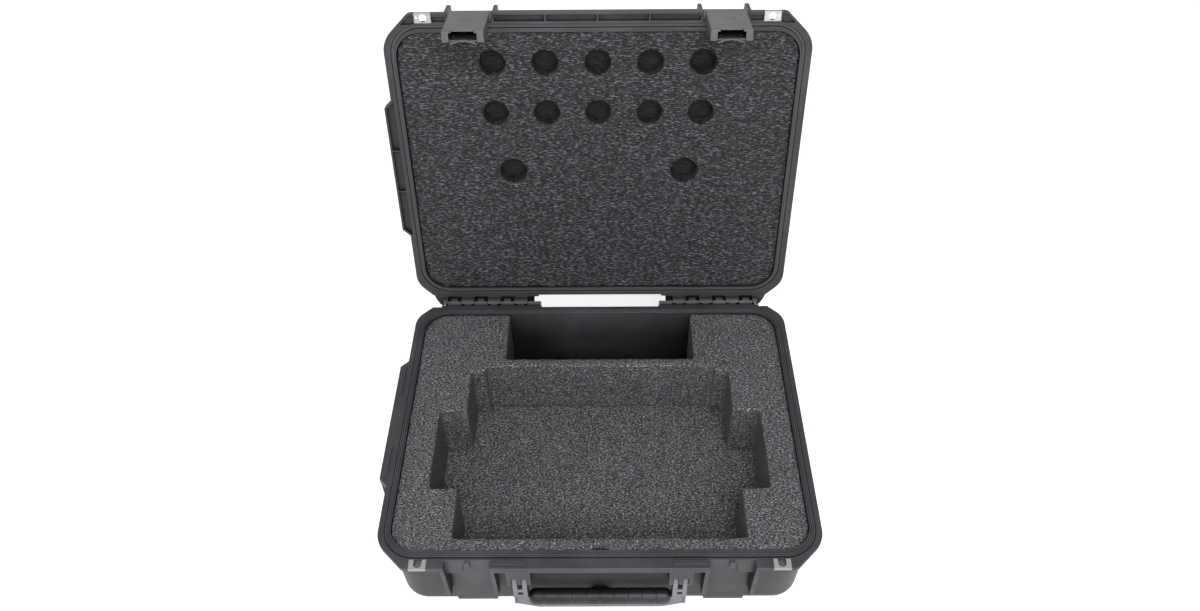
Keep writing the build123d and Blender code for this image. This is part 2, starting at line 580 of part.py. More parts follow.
def handle_frame(start):
    """A bail with two pairs of legs, joined below by a bridge and a bar that runs through the grip."""
    inner = start + PRONG + LEG_GAP
    outer = start + BRACKET - PRONG - LEG_GAP
    top = -HANDLE_PIN_DROP
    low = -HANDLE_DROP
    bar_top = low + HANDLE_BAR
    right = [(0, low), (inner - 13, low), (outer - 7, low + 9), (outer - 2.5, low + 11), (outer, low + 14),
             (outer, top), (inner, top), (inner, bar_top), (0, bar_top)]
    left = [(-x, z) for x, z in reversed(right[1:-1])]
    face = make_face(Polyline([(x, 0, z) for x, z in right + left], close=True))
    front = HANDLE_PIN_IN - LEG_ROUND
    rear = HANDLE_PIN_IN + LEG_ROUND
    frame = Pos(0, front, 0) * extrude(face, amount=rear - front, dir=(0, 1, 0))
    edges = frame.edges().group_by(Axis.Y)
    frame = fillet([e for e in edges[0] + edges[-1] if e.center().Z < bar_top - 2 or abs(e.center().X) > inner + 1],
                   1.2)
    # The bar is thinner than the legs, and thinnest inside the rubber
    slim = LEG_ROUND - HANDLE_THICK / 2
    half = start + PRONG + LEG_GAP - GRIP_GAP
    frame -= box(LEG_FLANGE - outer, outer - LEG_FLANGE, front - 1, front + slim, low - 1, -LEG_STEP)
    for y0, y1 in ((front - 1, front + slim), (rear - slim, rear + 1)):
        frame -= box(-half, half, y0, y1, low + GRIP_RISE, bar_top + 1)
    for sign in (-1, 1):
        ends = sorted((sign * inner, sign * outer))
        frame += rod_x(*ends, HANDLE_PIN_IN, top, LEG_ROUND)
        slot = sorted((sign * (inner + LEG), sign * (outer - LEG)))
        frame -= box(*slot, front - 9, rear + 9, -LEG_SLOT_END, top + 20)
        frame -= box(*slot, front - 9, rear + 9, -LEG_HOLE_END, -LEG_BRIDGE_END)
        frame -= rod_x(ends[0] - 1, ends[1] + 1, HANDLE_PIN_IN, top, HANDLE_PIN_RADIUS + RUNNING)
    return frame


def grip_bar(start, inset):
    """The rubber sleeve's outside, or with an inset the bottom of its rings."""
    length = 2 * (start + PRONG + LEG_GAP - GRIP_GAP)
    thick = GRIP_THICK - 2 * inset
    height = GRIP_HEIGHT - 2 * inset
    solid = extrude(Plane.YZ * RectangleRounded(thick, height, GRIP_ROUND - inset), amount=length / 2, both=True)
    ends = solid.faces().sort_by(Axis.X)
    solid = fillet(ends[0].edges() + ends[-1].edges(), GRIP_END_ROUND)
    return Pos(0, HANDLE_PIN_IN, -HANDLE_DROP + GRIP_RISE + GRIP_HEIGHT / 2) * solid


def handle_grip(start):
    """The rubber sleeve, with rings moulded in it, open below where the frame shows."""
    solid = grip_bar(start, 0)
    rings = int(2 * start / GRIP_RING_PITCH)
    band = box(-GRIP_RING_WIDTH / 2, GRIP_RING_WIDTH / 2, -50, 50, -HANDLE_DROP, 0) - grip_bar(start, GRIP_RING_DEPTH)
    solid -= [Pos((i - (rings - 1) / 2) * GRIP_RING_PITCH, 0, 0) * band for i in range(rings)]
    half = HANDLE_THICK / 2 + 0.02
    return solid - box(-2 * start, 2 * start, HANDLE_PIN_IN - half, HANDLE_PIN_IN + half,
                       -HANDLE_DROP - 1, -HANDLE_DROP + HANDLE_BAR + 0.02)


# Where each handle is, and where its brackets begin from its middle
HANDLES = {
    "front": (Location((0, FRONT, RIM_HEIGHT)), BAY_INNER - GUARD - BRACKET_FROM_LATCH - BRACKET),
    "side": (Location((-SIDE - SIDE_BULGE, SIDE_BULGE_Y, RIM_HEIGHT), (0, 0, -90)),
             SIDE_BULGE_LENGTH / 2 - BRACKET),
}


# The padlock plates, on the right

def plate_seat(clearance):
    """The room a plate takes in a rim, drawn upward from the rim; with no clearance, nearly the plate."""
    x0 = PLATE_X - PLATE_WIDTH / 2 - clearance
    x1 = PLATE_X + PLATE_WIDTH / 2 + clearance
    front = FRONT + 0.2 if clearance == 0 else FRONT - 1
    lowest = 0.2 if clearance == 0 else -1
    inner = FRONT + 0.2 + PLATE_SHEET
    top = box(x0, x1, front, FRONT + PLATE_DEPTH + clearance, lowest, 0.2 + PLATE_SHEET)
    return top + box(x0, x1, front, inner, lowest, PLATE_TURN + clearance)


def padlock_hole(radius, height):
    """A hole through a rim for the padlock, drawn upward from the rim."""
    return Pos(PADLOCK_X, FRONT + PADLOCK_IN, 0) * Cylinder(radius, 2 * height)


def padlock_plate(is_open):
    """A stainless angle plate: in the base its hole is open towards the case, in the lid it is closed."""
    plate = plate_seat(0) - padlock_hole(PADLOCK_RADIUS + 0.3, PLATE_TURN)
    if is_open:
        half = PADLOCK_RADIUS + 0.3
        return plate - box(PADLOCK_X - half, PADLOCK_X + half, FRONT + PADLOCK_IN, 0, -1, PLATE_TURN)
    plate -= Pos(0, 0.9, 0) * padlock_hole(PADLOCK_RADIUS - 0.2, PLATE_TURN)
    return plate - Pos(PLATE_X + 8.6, FRONT + 6.4, 0) * Cylinder(1.9, PLATE_TURN)


# The valve

def valve_disc(y0, y1, radius):
    return Pos(0, (y0 + y1) / 2, VALVE_Z) * Rot(90, 0, 0) * Cylinder(radius, y1 - y0)


def valve_body():
    """A capped stem through the front wall, with vents round the cap's rim."""
    face = FRONT + VALVE_FACE
    cap = valve_disc(face - VALVE_HEAD, face, VALVE_RADIUS)
    cap = chamfer(cap.edges().sort_by(Axis.Y)[0], 0.8)
    for i in range(8):
        vent = Pos(0, face - VALVE_HEAD, VALVE_Z) * Rot(0, 45 * i, 0) * Pos(VALVE_RADIUS - 4.5, 0, 0)
        cap -= vent * Box(3.5, 1.6, 1.4)
    stem = valve_disc(face - 1, FRONT + VALVE_BACK + VALVE_NUT + 1, VALVE_STEM_RADIUS)
    return cap + stem - valve_disc(face + 1, FRONT + VALVE_BACK + VALVE_NUT + 2, VALVE_STEM_RADIUS - 2.5)


def valve_nut():
    back = FRONT + VALVE_BACK
    nut = Pos(0, back + VALVE_NUT / 2, VALVE_Z) * Rot(90, 0, 0) * extrude(
        RegularPolygon(VALVE_RADIUS, 6), amount=VALVE_NUT / 2, both=True)
    return nut - valve_disc(back - 1, back + VALVE_NUT + 1, VALVE_STEM_RADIUS)


# The foam

def foam_pocket(width, y0, y1, z0, round_corners=POCKET_ROUND):
    """A pocket with upright, rounded corners from the foam's top down to z0."""
    plan = Pos(0, (y0 + y1) / 2) * RectangleRounded(width, y1 - y0, round_corners)
    return Pos(0, 0, z0) * extrude(plan, amount=RIM_HEIGHT - z0)


def base_foam():
    """The two layers of the base's foam, the upper one cut out for what the case carries."""
    whole = on_base(tub(-FOAM_GAP, BASE_DEPTH - WALL - FOAM_GAP, BASE_EDGE_ROUND - WALL - FOAM_GAP))
    whole -= valve_disc(FRONT, FRONT + VALVE_BACK + VALVE_NUT + 3, VALVE_RADIUS + 2)
    pad = whole & box(-SIDE, SIDE, FRONT, REAR, 0, FLOOR_TOP)
    layer = whole & box(-SIDE, SIDE, FRONT, REAR, FLOOR_TOP, FOAM_TOP)
    unit_front = OPENING_FRONT + UNIT_FRONT
    unit_rear = unit_front + UNIT_DEPTH
    notch_rear = unit_rear + NOTCH_DEPTH
    hand_front = OPENING_FRONT + HAND_BAY_FRONT
    cut = FLOOR_TOP - 1
    layer -= foam_pocket(UNIT_WIDTH, unit_front, unit_rear, cut)
    layer -= foam_pocket(NOTCH_WIDTH, unit_rear - 20, notch_rear, cut)
    layer -= foam_pocket(HAND_BAY_WIDTH, hand_front, hand_front + HAND_BAY_DEPTH, cut)
    layer -= foam_pocket(PEDAL_WIDTH, notch_rear + PEDAL_BAR, REAR, cut)
    layer -= foam_pocket(TAB_WIDTH, OPENING_FRONT - 4, OPENING_FRONT + TAB_DEPTH, FOAM_TOP - TAB_DROP, 1.5)
    return pad, layer


def lid_foam():
    """The lid's backing sheet and the pierced sheet on it, shut."""
    whole = on_lid(tub(-FOAM_GAP, LID_HEIGHT - WALL - FOAM_GAP, LID_EDGE_ROUND - WALL - FOAM_GAP))
    face_z = LID_Z + FOAM_SINK
    back_z = face_z + LID_SHEET
    face = whole & box(-SIDE, SIDE, FRONT, REAR, face_z, back_z)
    backing = whole & box(-SIDE, SIDE, FRONT, REAR, back_z, back_z + LID_HEIGHT)
    holes = [(i * SWITCH_PITCH, y, SWITCH_HOLE) for y in SWITCH_ROWS
             for i in range(-(SWITCHES // 2), SWITCHES // 2 + 1)]
    holes += [(side * KNOB_PITCH / 2, KNOB_ROW, KNOB_HOLE) for side in (-1, 1)]
    face -= [Pos(x, y, face_z) * Cylinder(diameter / 2, 2 * LID_SHEET + 2) for x, y, diameter in holes]
    return face, backing


# The shells

def base_shell():
    """The deep shell, with everything moulded on it."""
    fill = [corner_block(), mirrored(corner_block())]
    shell = on_base(tub(WALL, BASE_DEPTH, BASE_EDGE_ROUND) + rim_flange(fill))
    tongue = Pos(0, 0, RIM_HEIGHT) * extrude(ring(TONGUE_WIDTH), amount=TONGUE_HEIGHT)
    shell += tongue - Pos(0, 0, RIM_HEIGHT + TONGUE_HEIGHT - TONGUE_SLOT_DEPTH) * extrude(
        ring(TONGUE_SLOT), amount=TONGUE_HEIGHT)

    # Feet, and the raised strips that run down from the keepers to the front ones
    proud = on_base(tub(WALL + FOOT_HEIGHT, RIM_HEIGHT, BASE_EDGE_ROUND))
    feet = [box(-110, 110, -75, 75, -1, FOOT_HEIGHT)]
    for x in (-LATCH_X, LATCH_X):
        x0, x1 = x - STRIP_WIDTH / 2, x + STRIP_WIDTH / 2
        feet.append(box(x0, x1, FRONT, FRONT + FOOT_LENGTH, -1, RIM_HEIGHT - RIM_SKIN))
        feet.append(box(x0, x1, REAR - FOOT_LENGTH, REAR, -1, FOOT_RISE))
    shell += [proud & foot for foot in feet]
    shell += valve_disc(FRONT + VALVE_FACE, FRONT + VALVE_BACK - 1, VALVE_BOSS_RADIUS)

    bay = box(BAY_INNER, BAY_OUTER, FRONT - 1, KEEPER_FACE, RIM_HEIGHT - RIM_EDGE - 1, RIM_HEIGHT + 1)
    shell -= both_sides(bay)
    wall = FRONT + wall_at(0)
    guard = [(FRONT + 0.5, RIM_HEIGHT - RIM_SKIN), (FRONT + 8.0, RIM_HEIGHT - BASE_GUARD_DROP + 4),
             (FRONT + 11.0, RIM_HEIGHT - BASE_GUARD_DROP), (wall + 5, RIM_HEIGHT - BASE_GUARD_DROP),
             (wall + 1, RIM_HEIGHT - RIM_SKIN)]
    moulded = guard_fins(guard) + keeper() + base_hinge()
    shell += [piece for part in moulded for piece in both_sides(part)]
    for place, start in HANDLES.values():
        shell += [place * piece for piece in both_sides(bracket(start))]
    end = BAY_INNER - KEY_FROM_BAY
    key = box(end - KEY_LENGTH, end, FRONT + KEY_FRONT, FRONT + KEY_FRONT + KEY_WIDTH, RIM_HEIGHT - 1,
              RIM_HEIGHT + KEY_HEIGHT)
    shell += both_sides(key) + [Pos(0, 0, RIM_HEIGHT) * piece for piece in side_keys(KEY_HEIGHT)]

    # What is hollow, bored or let in
    shell -= on_base(tub(0, BASE_DEPTH - WALL, BASE_EDGE_ROUND - WALL))
    shell += valve_disc(FRONT + VALVE_FACE + 1, FRONT + VALVE_BACK, VALVE_BOSS_RADIUS - 2)
    gutter = ring(GUTTER_WIDTH, (TONGUE_WIDTH + GUTTER_WIDTH) / 2)
    shell -= on_base(extrude(gutter, amount=GUTTER_DEPTH))
    shell -= both_sides(on_base(plate_seat(0.2))) + both_sides(on_base(padlock_hole(PADLOCK_RADIUS, 20)))
    shell -= both_sides(hinge_pin(HINGE_PIN_RADIUS, 2))
    return shell - valve_disc(FRONT, FRONT + 60, VALVE_STEM_RADIUS)


def lid_shell():
    """The shallow shell, shut."""
    strip = box(-BAY_INNER, BAY_INNER, FRONT, FRONT + 14, 0, RIM_EDGE)
    bulge_end = SIDE_BULGE_LENGTH / 2 + SIDE_BULGE
    bulge = box(-SIDE - SIDE_BULGE, -SIDE + 6, SIDE_BULGE_Y - bulge_end, SIDE_BULGE_Y + bulge_end, 0, RIM_EDGE)
    seal_wall = extrude(ring(SEAL_WIDTH + 4), amount=SEAL_GROOVE_DEPTH + 2)
    fill = [corner_block(), mirrored(corner_block()), strip, bulge, seal_wall]
    shell = tub(WALL, LID_HEIGHT, LID_EDGE_ROUND) + rim_flange(fill)
    length = OPENING_DEPTH - 2 * STACK_RIB_END
    rib = extrude(SlotOverall(length, STACK_RIB_WIDTH, rotation=90), amount=STACK_RIB_HEIGHT + 1)
    for i in range(STACK_RIBS):
        shell += both_sides(Pos(SIDE - STACK_RIB_IN - i * STACK_RIB_PITCH, OPENING_Y, LID_HEIGHT - 1) * rib)

    # The latch bays and their guard fins
    bay = box(BAY_INNER, BAY_OUTER, FRONT - 1, FRONT + LID_BAY_DEPTH, -1, RIM_EDGE + 1)
    shell -= both_sides(bay)
    wall = FRONT + wall_at(0)
    rise = LID_GUARD_RISE
    guard = [(FRONT + 0.4, 0.1), (FRONT + 1.0, rise - 8), (FRONT + 2.2, rise - 3), (FRONT + 4.6, rise - 0.5),
             (FRONT + 8.0, rise + 0.5), (FRONT + 15.0, rise + 4), (wall + 3, rise + 4), (wall + 1, 0.1)]
    shell += [piece for fin in guard_fins(guard) for piece in both_sides(fin)]
    shell -= tub(0, LID_HEIGHT - WALL, LID_EDGE_ROUND - WALL)

    # The seal's groove, and the pockets in the rim
    shell -= extrude(ring(SEAL_WIDTH), amount=SEAL_GROOVE_DEPTH)
    key_end = BAY_INNER - 2.5
    pockets = box(-key_end, key_end, FRONT + RIM_LIP, FRONT + 12, -1, POCKET_DEPTH)
    for i in (-1, 0, 1):
        pockets -= Pos(i * 70.5, FRONT, 0) * Box(2, 40, 40)
    shell -= pockets
    inside = offset(rim_outline(), -RIM_LIP)
    pockets = extrude(inside, amount=POCKET_DEPTH) & box(
        -SIDE - SIDE_BULGE, -SIDE + 3.5, SIDE_BULGE_Y - bulge_end + 1, SIDE_BULGE_Y + bulge_end - 1, 0, POCKET_DEPTH)
    for i in (-1, 1):
        pockets -= Pos(-SIDE, SIDE_BULGE_Y + i * 34, 0) * Box(40, 2, 40)
    shell -= pockets
    plate_half = PLATE_WIDTH / 2
    shell -= both_sides(box(BAY_OUTER + 3.5, PLATE_X - plate_half - 1, FRONT + 4.8, FRONT + 12.4, -1,
                            CORNER_POCKET_DEPTH))
    crescent = extrude(inside, amount=CORNER_POCKET_DEPTH) & box(
        PLATE_X + plate_half + 1, SIDE, FRONT, FRONT + 16, 0, CORNER_POCKET_DEPTH)
    across = RIM_WIDTH - 2 * TONGUE_SIDE + SEAL_WIDTH + 4
    along = RIM_DEPTH - TONGUE_FRONT - TONGUE_REAR + SEAL_WIDTH + 4
    crescent -= Pos(0, (TONGUE_FRONT - TONGUE_REAR) / 2) * extrude(
        RectangleRounded(across, along, TONGUE_CORNER + SEAL_WIDTH / 2 + 2), amount=CORNER_POCKET_DEPTH)
    shell -= both_sides(crescent)
    window = box(PLATE_X - plate_half + 1.5, PLATE_X + plate_half - 0.5, FRONT + 2.2, FRONT + PLATE_DEPTH - 0.8,
                 -1, RIM_EDGE + 1)
    shell -= both_sides(plate_seat(0.2)) + both_sides(window)
    shell = on_lid(shell)
    shell += [piece for part in lid_hinge() for piece in both_sides(part)]
    shell -= both_sides(hinge_pin(HINGE_PIN_RADIUS + RUNNING, 2))
    return shell - both_sides(latch_pin())


def lid_gasket():
    """The sponge seal in the lid's groove, with a rounded face towards the tongue."""
    face = PARTING * -1 + TONGUE_HEIGHT + SEAL_GAP
    seal = Pos(0, 0, face) * extrude(ring(SEAL_WIDTH - 0.2), amount=SEAL_GROOVE_DEPTH - face)
    return on_lid(fillet(seal.faces().sort_by(Axis.Z)[0].edges(), 1.2))


foam_pad, foam_layer = base_foam()
lid_sheet, lid_backing = lid_foam()
PARTS = {
    "base_shell": base_shell(),
    "base_foam_floor": foam_pad,
    "base_foam_top": foam_layer,
    "valve_body": valve_body(),
    "valve_nut": valve_nut(),
    "lid_shell": opened(lid_shell()),
    "lid_gasket": opened(lid_gasket()),
    "lid_foam_face": opened(lid_sheet),
    "lid_foam_backing": opened(lid_backing),
}
for side, turn in (("left", mirrored), ("right", lambda part: part)):
    PARTS |= {
        f"hinge_pin_{side}": turn(hinge_pin(HINGE_PIN_RADIUS, 0)),
        f"base_padlock_plate_{side}": turn(on_base(padlock_plate(True))),
        f"lid_padlock_plate_{side}": opened(turn(on_lid(padlock_plate(False)))),
        f"latch_body_{side}": opened(turn(latch_body())),
        f"latch_pin_{side}": opened(turn(latch_pin())),
        f"latch_trigger_{side}": opened(turn(latch_trigger())),
        f"trigger_pin_{side}": opened(turn(trigger_pin())),
        f"trigger_spring_{side}": opened(turn(trigger_spring())),
    }
for name, (place, start) in HANDLES.items():
    PARTS[f"{name}_handle_frame"] = place * handle_frame(start)
    PARTS[f"{name}_handle_grip"] = place * handle_grip(start)
    ends = ("right", "left") if name == "front" else ("front", "rear")
    PARTS[f"{name}_handle_pin_{ends[0]}"] = place * handle_pin(start)
    PARTS[f"{name}_handle_pin_{ends[1]}"] = place * mirrored(handle_pin(start))

os.makedirs("parts", exist_ok=True)
for name, part in PARTS.items():
    export_step(part, f"parts/{name}.step")
    print(name, len(part.solids()), round(part.volume))
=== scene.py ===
from math import radians

import bmesh
import bpy
from mathutils import Matrix, Vector, noise


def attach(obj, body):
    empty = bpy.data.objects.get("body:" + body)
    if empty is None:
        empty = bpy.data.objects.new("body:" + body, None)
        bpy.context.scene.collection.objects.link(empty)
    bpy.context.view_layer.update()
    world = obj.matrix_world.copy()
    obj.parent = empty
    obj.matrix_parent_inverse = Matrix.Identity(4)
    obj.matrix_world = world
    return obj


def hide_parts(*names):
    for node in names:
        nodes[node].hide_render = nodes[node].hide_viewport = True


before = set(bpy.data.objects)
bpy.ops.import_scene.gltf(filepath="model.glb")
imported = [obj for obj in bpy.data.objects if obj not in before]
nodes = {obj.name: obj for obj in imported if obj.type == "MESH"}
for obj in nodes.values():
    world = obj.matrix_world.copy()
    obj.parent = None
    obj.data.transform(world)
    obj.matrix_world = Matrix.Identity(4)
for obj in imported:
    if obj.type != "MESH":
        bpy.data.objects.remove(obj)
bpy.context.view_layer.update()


# The view: the case seen from the front, standing open, from a little over a metre up.
# The lens and the place were worked out from the lines of the rim and the lid.
LENS_PX = 950.0
VIEW_PX = 1200.0
EYE_PLACE = (0.0096, -0.8327, 1.2758)
EYE_TURN = 0.51  # degrees, to the left
EYE_DOWN = 46.3  # below level
EYE_ROLL = -0.63
eye = bpy.data.cameras.new("view")
eye.sensor_fit = "HORIZONTAL"
eye.sensor_width = 36.0
eye.lens = eye.sensor_width * LENS_PX / VIEW_PX
camera = bpy.data.objects.new("view", eye)
camera.matrix_world = (
    Matrix.Translation(EYE_PLACE)
    @ Matrix.Rotation(radians(EYE_TURN), 4, "Z")
    @ Matrix.Rotation(radians(90 - EYE_DOWN), 4, "X")
    @ Matrix.Rotation(radians(EYE_ROLL), 4, "Z")
)
bpy.context.collection.objects.link(camera)
bpy.context.scene.camera = camera
bpy.context.scene.view_settings.view_transform = "Standard"


# The studio: white paper under the case, a broad soft light above and before it, and weaker ones
# from the left and low in front. The camera and reflections see the paper lit from within.
PAPER_RADIUS = 6.0
PAPER_GLOW = 0.68
WORLD_LIGHT = 0.32  # on the case, where what is seen or mirrored is a white of 1


def linear(colour):
    """An sRGB hex colour as linear red, green, blue and alpha."""
    parts = [int(colour[i:i + 2], 16) / 255 for i in (1, 3, 5)]
    parts = [c / 12.92 if c <= 0.04045 else ((c + 0.055) / 1.055) ** 2.4 for c in parts]
    return (*parts, 1.0)


def add(tree, kind, links=None, **settings):
    """A node of a kind with its settings, each input given a value or the socket to link."""
    node = tree.nodes.new(kind)
    for name, value in settings.items():
        setattr(node, name, value)
    for name, value in (links or {}).items():
        socket = node.inputs[name]
        if isinstance(value, bpy.types.NodeSocket):
            tree.links.new(value, socket)
        else:
            socket.default_value = value
    return node


def new_material(name):
    """A material with an empty node tree."""
    material = bpy.data.materials.new(name)
    material.use_nodes = True
    material.node_tree.nodes.clear()
    return material, material.node_tree


def finish_material(tree, shader):
    """Shows a shader on the material's surface."""
    add(tree, "ShaderNodeOutputMaterial", {"Surface": shader.outputs[0]})


def seen_or_mirrored(tree):
    """One on rays from the camera, a reflection or a glass, and zero on all others."""
    path = add(tree, "ShaderNodeLightPath")
    seen = add(tree, "ShaderNodeMath", {
        0: path.outputs["Is Camera Ray"], 1: path.outputs["Is Glossy Ray"]}, operation="MAXIMUM")
    seen = add(tree, "ShaderNodeMath", {
        0: seen.outputs[0], 1: path.outputs["Is Transmission Ray"]}, operation="MAXIMUM")
    return seen.outputs[0]


paper, tree = new_material("white paper")
shade = add(tree, "ShaderNodeBsdfDiffuse", {"Color": linear("#D9D9D9"), "Roughness": 0.5})
level = add(tree, "ShaderNodeMath", {0: seen_or_mirrored(tree), 1: PAPER_GLOW},
            operation="MULTIPLY")
glow = add(tree, "ShaderNodeEmission", {"Color": (1, 1, 1, 1), "Strength": level.outputs[0]})
both = add(tree, "ShaderNodeAddShader", {0: shade.outputs[0], 1: glow.outputs[0]})
finish_material(tree, both)
bm = bmesh.new()
bmesh.ops.create_circle(bm, cap_ends=True, segments=64, radius=PAPER_RADIUS)
mesh = bpy.data.meshes.new("floor")
bm.to_mesh(mesh)
bm.free()
mesh.materials.append(paper)
floor = bpy.data.objects.new("floor", mesh)
floor.location.z = -0.0005
bpy.context.collection.objects.link(floor)

world = bpy.context.scene.world or bpy.data.worlds.new("studio")
bpy.context.scene.world = world
world.use_nodes = True
tree = world.node_tree
tree.nodes.clear()
level = add(tree, "ShaderNodeMapRange", {
    "Value": seen_or_mirrored(tree), "To Min": WORLD_LIGHT, "To Max": 1.0})
back = add(tree, "ShaderNodeBackground", {"Color": (1, 1, 1, 1), "Strength": level.outputs[0]})
add(tree, "ShaderNodeOutputWorld", {"Surface": back.outputs[0]})

# Each lamp's place, aim, width in metres and power in watts
for name, place, target, size, power in (
    ("key", (0.3, -1.9, 2.7), (0, 0, 0.2), 1.4, 92),
    ("fill", (-2.2, -1.2, 1.6), (0, 0, 0.2), 1.6, 16),
    ("low fill", (0.3, -2.3, 0.6), (0, 0, 0.1), 1.2, 17),
):
    lamp = bpy.data.lights.new(name, "AREA")
    lamp.size = size
    lamp.energy = power
    light = bpy.data.objects.new(name, lamp)
    light.location = place
    light.rotation_euler = (Vector(target) - Vector(place)).to_track_quat("-Z", "Y").to_euler()
    bpy.context.collection.objects.link(light)


# The base's shell: injection-moulded polypropylene copolymer, black with a little grey in it.
# The mould is spark-eroded, so the skin has an even fine grain and is silky rather than glossy.
# The grain is some 0.2 mm across on a real case, and is drawn four times as coarse to show.
EDGE_ROUND = 0.0012  # the mould's edges are rounded by about a millimetre
PAINTED_SHADE_REACH = 0.11  # how far a wall reaches to paint shade into a deep recess
RUBBED_PATCHES_PER_M = 9.0
EDGE_HIGHLIGHT_AND_WEAR = 2.5  # how much paler the painted highlight along an open edge is than a rubbed patch; it also stands for wear


def moulded_skin(name, colour, wear_and_highlight_colour, roughness, grain_mm, depth_mm):
    """A moulded grain with rubbed patches, a painted highlight along open edges that also stands
    for wear, and painted shade in deep corners.
    """
    material, tree = new_material(name)
    place = add(tree, "ShaderNodeTexCoord")
    grain = add(tree, "ShaderNodeTexNoise", {
        "Vector": place.outputs["Object"], "Scale": 1000 / grain_mm, "Detail": 2.0,
        "Roughness": 0.6})
    cloud = add(tree, "ShaderNodeTexNoise", {
        "Vector": place.outputs["Object"], "Scale": RUBBED_PATCHES_PER_M, "Detail": 5.0,
        "Roughness": 0.62})
    wear_and_highlight = add(tree, "ShaderNodeMapRange", {
        "Value": cloud.outputs["Fac"], "From Min": 0.45, "From Max": 0.72})
    # An edge is where the rounded normal turns from the flat one. Only open edges are painted
    # paler, a painted highlight that also stands for wear
    edge = add(tree, "ShaderNodeBevel", {"Radius": EDGE_ROUND}, samples=4)
    flat = add(tree, "ShaderNodeNewGeometry")
    turn = add(tree, "ShaderNodeVectorMath", {0: edge.outputs[0], 1: flat.outputs["Normal"]},
               operation="DOT_PRODUCT")
    turn = add(tree, "ShaderNodeMapRange", {
        "Value": turn.outputs["Value"], "From Min": 1.0, "From Max": 0.8})
    corner = add(tree, "ShaderNodeAmbientOcclusion", {"Distance": PAINTED_SHADE_REACH}, samples=4)
    open_edge = add(tree, "ShaderNodeMapRange", {
        "Value": corner.outputs["AO"], "From Min": 0.4, "From Max": 0.7})
    edge_highlight_and_wear = add(tree, "ShaderNodeMath", {0: turn.outputs[0], 1: open_edge.outputs[0]},
                    operation="MULTIPLY")
    # Rubbed patches plus the painted highlight along open edges, which also stands for wear.
    wear_and_highlight = add(tree, "ShaderNodeMath", {0: edge_highlight_and_wear.outputs[0], 1: EDGE_HIGHLIGHT_AND_WEAR, 2: wear_and_highlight.outputs[0]},
              operation="MULTIPLY_ADD")
    tint = add(tree, "ShaderNodeMix", {
        "Factor": wear_and_highlight.outputs[0], 6: linear(colour), 7: linear(wear_and_highlight_colour)},
        data_type="RGBA", clamp_factor=False)
    speck = add(tree, "ShaderNodeMapRange", {
        "Value": grain.outputs["Fac"], "From Min": 0.3, "From Max": 0.7,
        "To Min": 0.86, "To Max": 1.14})
    # Painted shade: the colour darkens in deep corners and recesses, as far as the occlusion
    # reaches.
    painted_corner_shade = add(tree, "ShaderNodeMapRange", {
        "Value": corner.outputs["AO"], "From Min": 0.25, "From Max": 0.8,
        "To Min": 0.15, "To Max": 1.0})
    shade = add(tree, "ShaderNodeMath", {0: speck.outputs[0], 1: painted_corner_shade.outputs[0]},
                operation="MULTIPLY")
    skin_with_painted_light = add(tree, "ShaderNodeVectorMath", {0: tint.outputs[2], "Scale": shade.outputs[0]},
               operation="SCALE")
    gloss = add(tree, "ShaderNodeMapRange", {
        "Value": wear_and_highlight.outputs[0], "To Min": roughness, "To Max": roughness - 0.07})
    bump = add(tree, "ShaderNodeBump", {
        "Height": grain.outputs["Fac"], "Strength": 0.5, "Distance": depth_mm / 1000,
        "Normal": edge.outputs[0]})
    shader = add(tree, "ShaderNodeBsdfPrincipled", {
        "Base Color": skin_with_painted_light.outputs[0], "Roughness": gloss.outputs[0], "IOR": 1.49,
        "Specular IOR Level": 0.2, "Normal": bump.outputs[0]})
    finish_material(tree, shader)
    return material


def paint(material, *names):
    """Gives CAD nodes or new pieces one material over all their faces."""
    for name in names:
        piece = nodes.get(name) or bpy.data.objects[name]
        piece.data.materials.clear()
        piece.data.materials.append(material)


case_plastic = moulded_skin("moulded polypropylene", "#38383B", "#47474B", 0.46, 0.9, 0.12)
paint(case_plastic, "base_shell")


# The pressure valve: a small cap whose stem goes through the front wall and is held by a nut
# inside. Both are moulded in the shell's own plastic.
paint(case_plastic, "valve_body", "valve_nut")


# The padlock plates: stainless steel stamped from 1.5 mm sheet and brushed, folded over the front
# corners of the base and the lid so that a shackle doesn't wear the plastic.
# The brushed lines are drawn 0.4 mm apart, several times as coarse as real ones, to show at all.
LINES_PER_M = 2500.0
LINE_STRETCH = (0.08, 1.0, 1.0)
SMUDGES_PER_M = 120.0


def drawn_steel(name, colour, roughness):
    """Steel with fine lines along it and smudges that dull its shine."""
    material, tree = new_material(name)
    place = add(tree, "ShaderNodeTexCoord")
    along = add(tree, "ShaderNodeMapping", {
        "Vector": place.outputs["Object"], "Scale": LINE_STRETCH})
    lines = add(tree, "ShaderNodeTexNoise", {
        "Vector": along.outputs[0], "Scale": LINES_PER_M, "Detail": 2.0})
    smudge = add(tree, "ShaderNodeTexNoise", {
        "Vector": place.outputs["Object"], "Scale": SMUDGES_PER_M, "Detail": 3.0})
    gloss = add(tree, "ShaderNodeMapRange", {
        "Value": smudge.outputs["Fac"], "To Min": roughness - 0.08, "To Max": roughness + 0.12})
    bump = add(tree, "ShaderNodeBump", {
        "Height": lines.outputs["Fac"], "Strength": 0.25, "Distance": 0.00005})
    shader = add(tree, "ShaderNodeBsdfPrincipled", {
        "Base Color": linear(colour), "Metallic": 1.0, "Roughness": gloss.outputs[0],
        "Normal": bump.outputs[0]})
    finish_material(tree, shader)
    return material


plate_steel = drawn_steel("brushed stainless steel", "#9E9D99", 0.42)
for shell in ("base", "lid"):
    paint(plate_steel, f"{shell}_padlock_plate_left", f"{shell}_padlock_plate_right")


